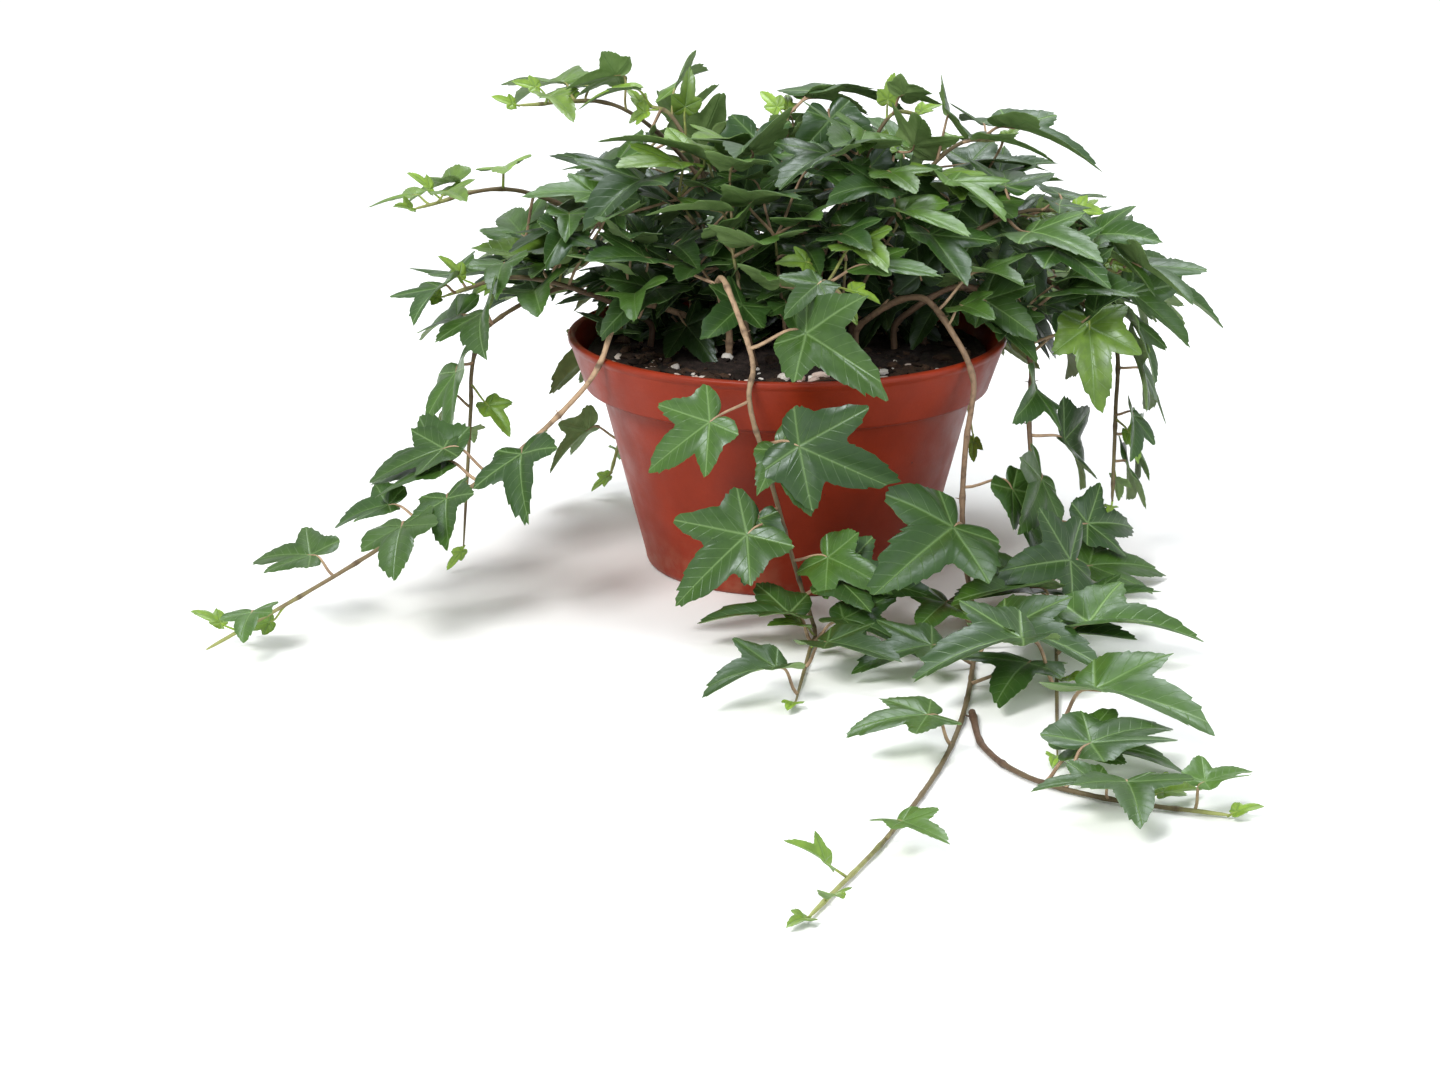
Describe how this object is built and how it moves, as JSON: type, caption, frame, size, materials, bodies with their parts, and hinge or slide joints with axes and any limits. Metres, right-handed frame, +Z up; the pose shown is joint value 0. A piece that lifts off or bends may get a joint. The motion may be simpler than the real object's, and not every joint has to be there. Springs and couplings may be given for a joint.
{
  "type": "potted ivy",
  "caption": "Trailing ivy rooted in a squat tapered plastic pot with a collar; lobed leaves mound over the soil and stems spill over the lip and lie on the table.",
  "frame": {"origin": "centre of the pot's flat underside, on the surface the pot stands on", "axes": "+Z up; -Y is the front, where the longest stems trail; +X is the viewer's right"},
  "size_m": [0.3479, 0.5132, 0.1737],
  "materials": {
    "terracotta_plastic": "satin moulded terracotta-coloured plastic, slightly dusty",
    "potting_soil": "moist dark peat and bark compost with pale grains",
    "ivy_stem": "matt tan to dark brown bark, pinker and greener towards the tips",
    "ivy_leaf": "waxy dark green with pale veins, bluish sheen, yellow-green when young"
  },
  "bodies": {
    "root": {"leaf_back_1": "ivy_leaf", "leaf_back_left_1": "ivy_leaf", "leaf_far_right_1": "ivy_leaf", "leaf_far_right_2": "ivy_leaf", "leaf_fork_1": "ivy_leaf", "leaf_fork_2": "ivy_leaf", "leaf_fork_3": "ivy_leaf", "leaf_front_1": "ivy_leaf", "leaf_front_2": "ivy_leaf", "leaf_front_3": "ivy_leaf", "leaf_front_4": "ivy_leaf", "leaf_front_5": "ivy_leaf", "leaf_front_6": "ivy_leaf", "leaf_front_left_1": "ivy_leaf", "leaf_front_left_2": "ivy_leaf", "leaf_front_left_3": "ivy_leaf", "leaf_front_left_4": "ivy_leaf", "leaf_front_right_1": "ivy_leaf", "leaf_front_right_2": "ivy_leaf", "leaf_front_right_3": "ivy_leaf", "leaf_front_right_4": "ivy_leaf", "leaf_left_1": "ivy_leaf", "leaf_right_1": "ivy_leaf", "leaf_right_2": "ivy_leaf", "leaf_right_3": "ivy_leaf", "leaf_right_4": "ivy_leaf", "leaf_right_5": "ivy_leaf", "leaf_right_6": "ivy_leaf", "leaf_shoot_back_left_1": "ivy_leaf", "leaf_shoot_back_right_1": "ivy_leaf", "leaf_shoot_left_1": "ivy_leaf", "leaf_shoot_low_left_1": "ivy_leaf", "leaf_shoot_right_low_1": "ivy_leaf", "leaf_shoot_top_1": "ivy_leaf", "leaf_shoot_top_left_1": "ivy_leaf", "leaf_shoot_top_right_1": "ivy_leaf", "pot": "terracotta_plastic", "potting_soil": "potting_soil", "shoot_back_left": "ivy_stem", "shoot_back_right": "ivy_stem", "shoot_front": "ivy_stem", "shoot_left": "ivy_stem", "shoot_low_left": "ivy_stem", "shoot_right_high": "ivy_stem", "shoot_right_low": "ivy_stem", "shoot_top": "ivy_stem", "shoot_top_left": "ivy_stem", "shoot_top_mid_left": "ivy_stem", "shoot_top_mid_right": "ivy_stem", "shoot_top_right": "ivy_stem", "stem_back": "ivy_stem", "stem_back_left": "ivy_stem", "stem_back_right": "ivy_stem", "stem_far_right": "ivy_stem", "stem_fork": "ivy_stem", "stem_front": "ivy_stem", "stem_front_left": "ivy_stem", "stem_front_right": "ivy_stem", "stem_left": "ivy_stem", "stem_right": "ivy_stem"}
  },
  "joints": []
}
